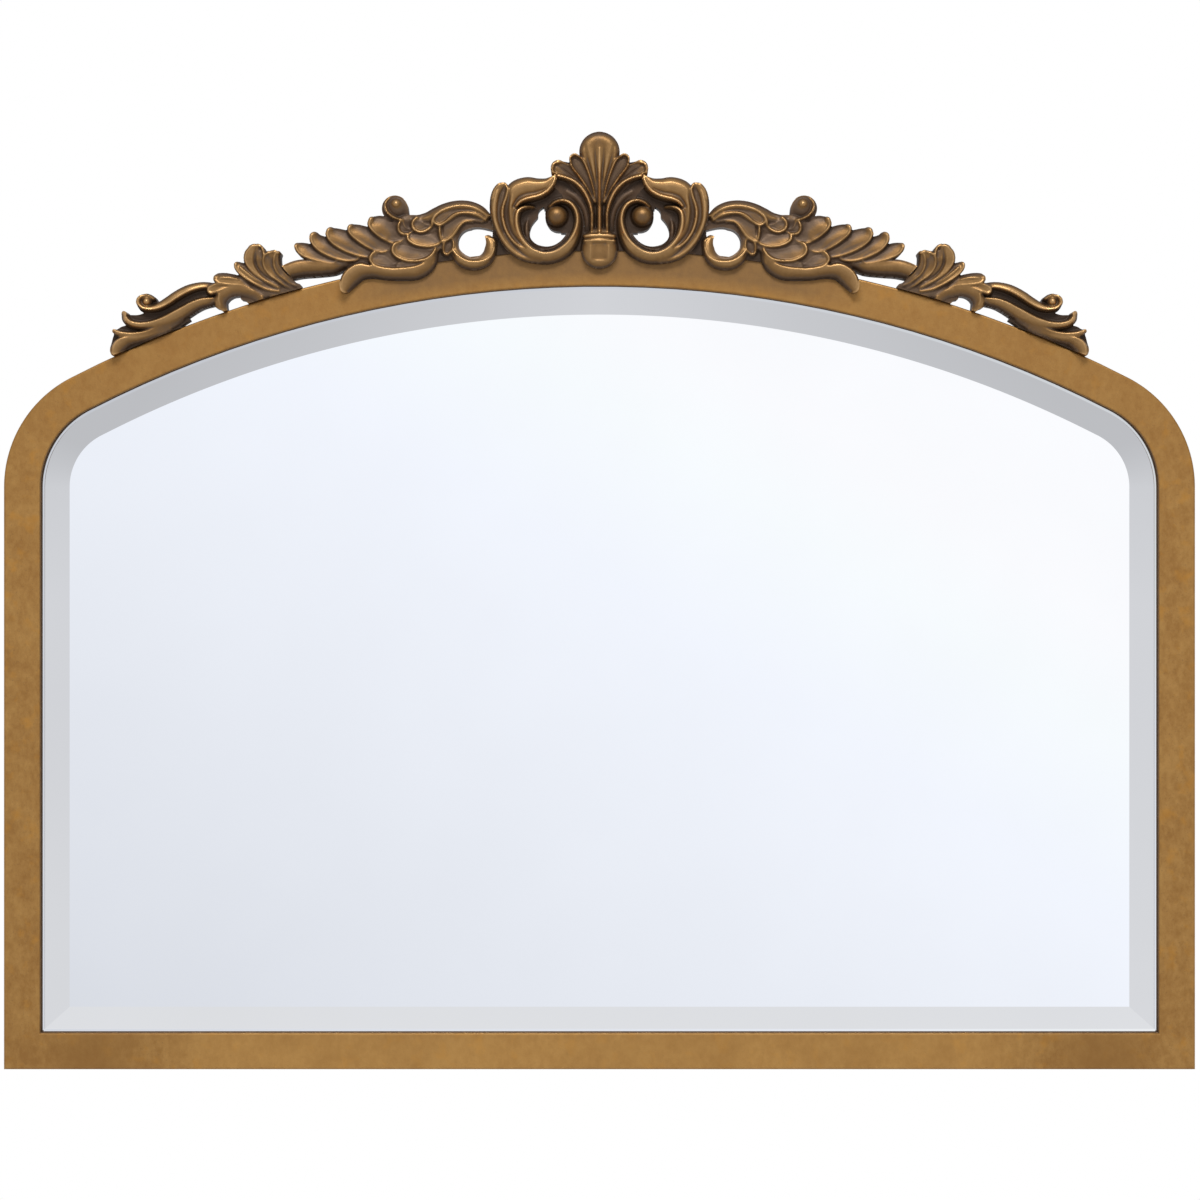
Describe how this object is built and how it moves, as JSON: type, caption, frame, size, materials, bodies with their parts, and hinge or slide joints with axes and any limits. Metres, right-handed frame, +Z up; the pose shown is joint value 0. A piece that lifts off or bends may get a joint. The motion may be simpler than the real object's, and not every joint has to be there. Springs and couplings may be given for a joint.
{
  "type": "arched wall mirror",
  "caption": "Arched wall or mantel mirror: bevelled glass in a rebated bronze-gold frame, crowned by a pierced carved crest, with swivelling hanging rings on the back.",
  "frame": {"origin": "in the wall plane, centred on the width, level with the frame's lower edge", "axes": "+X to the right as seen from the front, +Y into the wall, +Z up"},
  "size_m": [0.914, 0.039, 0.7186],
  "materials": {
    "frame_finish": "bronze-gold gilt, satin, rubbed",
    "crest_finish": "bronze-gold gilt on cast composition, dark patina in the hollows",
    "mirror_glass": "silvered, with a polished bevel",
    "board": "raw hardboard",
    "dowel_wood": "raw beech",
    "zinc_steel": "zinc plated",
    "pad_rubber": "matt"
  },
  "bodies": {
    "mirror_body": {"bottom_rail": "frame_finish", "left_stile": "frame_finish", "right_stile": "frame_finish", "left_shoulder": "frame_finish", "right_shoulder": "frame_finish", "arch_rail": "frame_finish", "frame_dowels": "dowel_wood", "corner_nails": "zinc_steel", "mirror_glass": "mirror_glass", "backing_board": "board", "glazing_points": "zinc_steel", "crest_palmette": "crest_finish", "left_c_scroll": "crest_finish", "right_c_scroll": "crest_finish", "left_inner_wing": "crest_finish", "right_inner_wing": "crest_finish", "left_outer_wing": "crest_finish", "right_outer_wing": "crest_finish", "crest_pins": "zinc_steel", "left_hanger_strap": "zinc_steel", "right_hanger_strap": "zinc_steel", "hanger_screws": "zinc_steel", "wall_pads": "pad_rubber"},
    "left_ring": {"left_hanger_ring": "zinc_steel"},
    "right_ring": {"right_hanger_ring": "zinc_steel"}
  },
  "joints": [
    {"name": "left_ring_swivel", "type": "hinge", "parent": "mirror_body", "child": "left_ring", "pos_m": [-0.4465, -0.00272, 0.4], "axis": [-1, 0, 0], "range_deg": [0, 178]},
    {"name": "right_ring_swivel", "type": "hinge", "parent": "mirror_body", "child": "right_ring", "pos_m": [0.4465, -0.00272, 0.4], "axis": [-1, 0, 0], "range_deg": [0, 178]}
  ]
}
